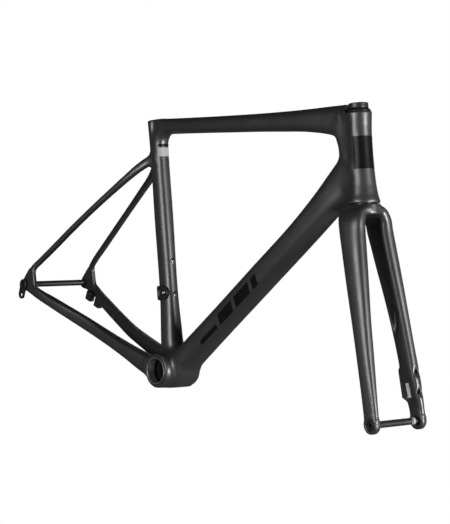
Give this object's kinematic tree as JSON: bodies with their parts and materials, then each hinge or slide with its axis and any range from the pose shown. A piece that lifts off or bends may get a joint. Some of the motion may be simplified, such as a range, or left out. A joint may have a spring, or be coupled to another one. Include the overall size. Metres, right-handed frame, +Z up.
{
  "type": "bicycle frame",
  "caption": "Disc-brake road bicycle frame with its fork, headset and thru axles: deep down tube, dropped seatstays and a steering fork.",
  "frame": {"origin": "middle of the bottom bracket shell, on the crank axis", "axes": "+X forward, +Y to the rider's left, +Z up with both axles level"},
  "size_m": [1.0192, 0.1667, 0.6186],
  "materials": {
    "painted_carbon": "satin dark graphite paint over moulded carbon",
    "raw_carbon": "satin bare carbon",
    "black_alloy": "black anodised",
    "silver_alloy": "machined, clear anodised",
    "steel": "bright zinc",
    "rubber": "soft black"
  },
  "bodies": {
    "frame": {"head_tube": "painted_carbon", "top_tube": "painted_carbon", "down_tube": "painted_carbon", "seat_tube": "painted_carbon", "bottom_bracket_shell": "painted_carbon", "left_chainstay": "painted_carbon", "right_chainstay": "painted_carbon", "left_seatstay": "painted_carbon", "right_seatstay": "painted_carbon", "left_rear_dropout": "painted_carbon", "right_rear_dropout": "painted_carbon", "rear_brake_boss_rear": "painted_carbon", "rear_brake_boss_front": "painted_carbon", "derailleur_hanger": "black_alloy", "front_derailleur_mount": "black_alloy", "seat_tube_lower_bottle_bolt": "black_alloy", "seat_tube_upper_bottle_bolt": "black_alloy", "down_tube_lower_bottle_bolt": "black_alloy", "down_tube_upper_bottle_bolt": "black_alloy", "left_bottom_bracket_sleeve": "silver_alloy", "right_bottom_bracket_sleeve": "silver_alloy", "seat_tube_lower_bottle_insert": "silver_alloy", "seat_tube_upper_bottle_insert": "silver_alloy", "down_tube_lower_bottle_insert": "silver_alloy", "down_tube_upper_bottle_insert": "silver_alloy", "upper_bearing_outer_race": "steel", "lower_bearing_outer_race": "steel", "front_derailleur_bolt": "steel", "brake_hose_grommet": "rubber"},
    "fork": {"steerer_tube": "raw_carbon", "fork_crown": "painted_carbon", "right_fork_blade": "painted_carbon", "left_fork_blade": "painted_carbon", "left_fork_brake_mount": "painted_carbon", "front_brake_seat": "painted_carbon", "left_fork_tip": "painted_carbon", "right_fork_tip": "painted_carbon", "front_axle_insert": "black_alloy", "lower_bearing_inner_race": "steel", "upper_bearing_inner_race": "steel", "compression_ring": "silver_alloy", "headset_cover": "black_alloy", "steerer_collar": "black_alloy", "left_collar_lug": "silver_alloy", "right_collar_lug": "silver_alloy", "collar_bolt": "steel"},
    "front_thru_axle": {"front_axle": "black_alloy"},
    "rear_thru_axle": {"rear_axle": "black_alloy"},
    "clamp_wedge": {"seatpost_wedge": "silver_alloy"},
    "clamp_bolt": {"seatpost_wedge_bolt": "steel"}
  },
  "joints": [
    {"name": "steering", "type": "hinge", "parent": "frame", "child": "fork", "pos_m": [0.4365, 0, 0.4146], "axis": [-0.2882, 0, 0.9576], "range_deg": [-75, 75]},
    {"name": "front_axle_slide", "type": "slide", "parent": "fork", "child": "front_thru_axle", "axis": [0, 1, 0], "range_m": [0, 0.13]},
    {"name": "rear_axle_slide", "type": "slide", "parent": "frame", "child": "rear_thru_axle", "axis": [0, 1, 0], "range_m": [0, 0.168]},
    {"name": "clamp_bolt_turn", "type": "hinge", "parent": "frame", "child": "clamp_bolt", "pos_m": [-0.12586, 0, 0.44566], "axis": [-0.3074, 0, 0.9516], "range_deg": [0, 1081]},
    {"name": "clamp_wedge_slide", "type": "slide", "parent": "frame", "child": "clamp_wedge", "axis": [-0.3074, 0, 0.9516], "range_m": [0, 0.0021]}
  ],
  "couplings": [
    {"joint": "clamp_bolt_turn", "follows": "clamp_wedge_slide", "rad_per_m": 8976}
  ]
}
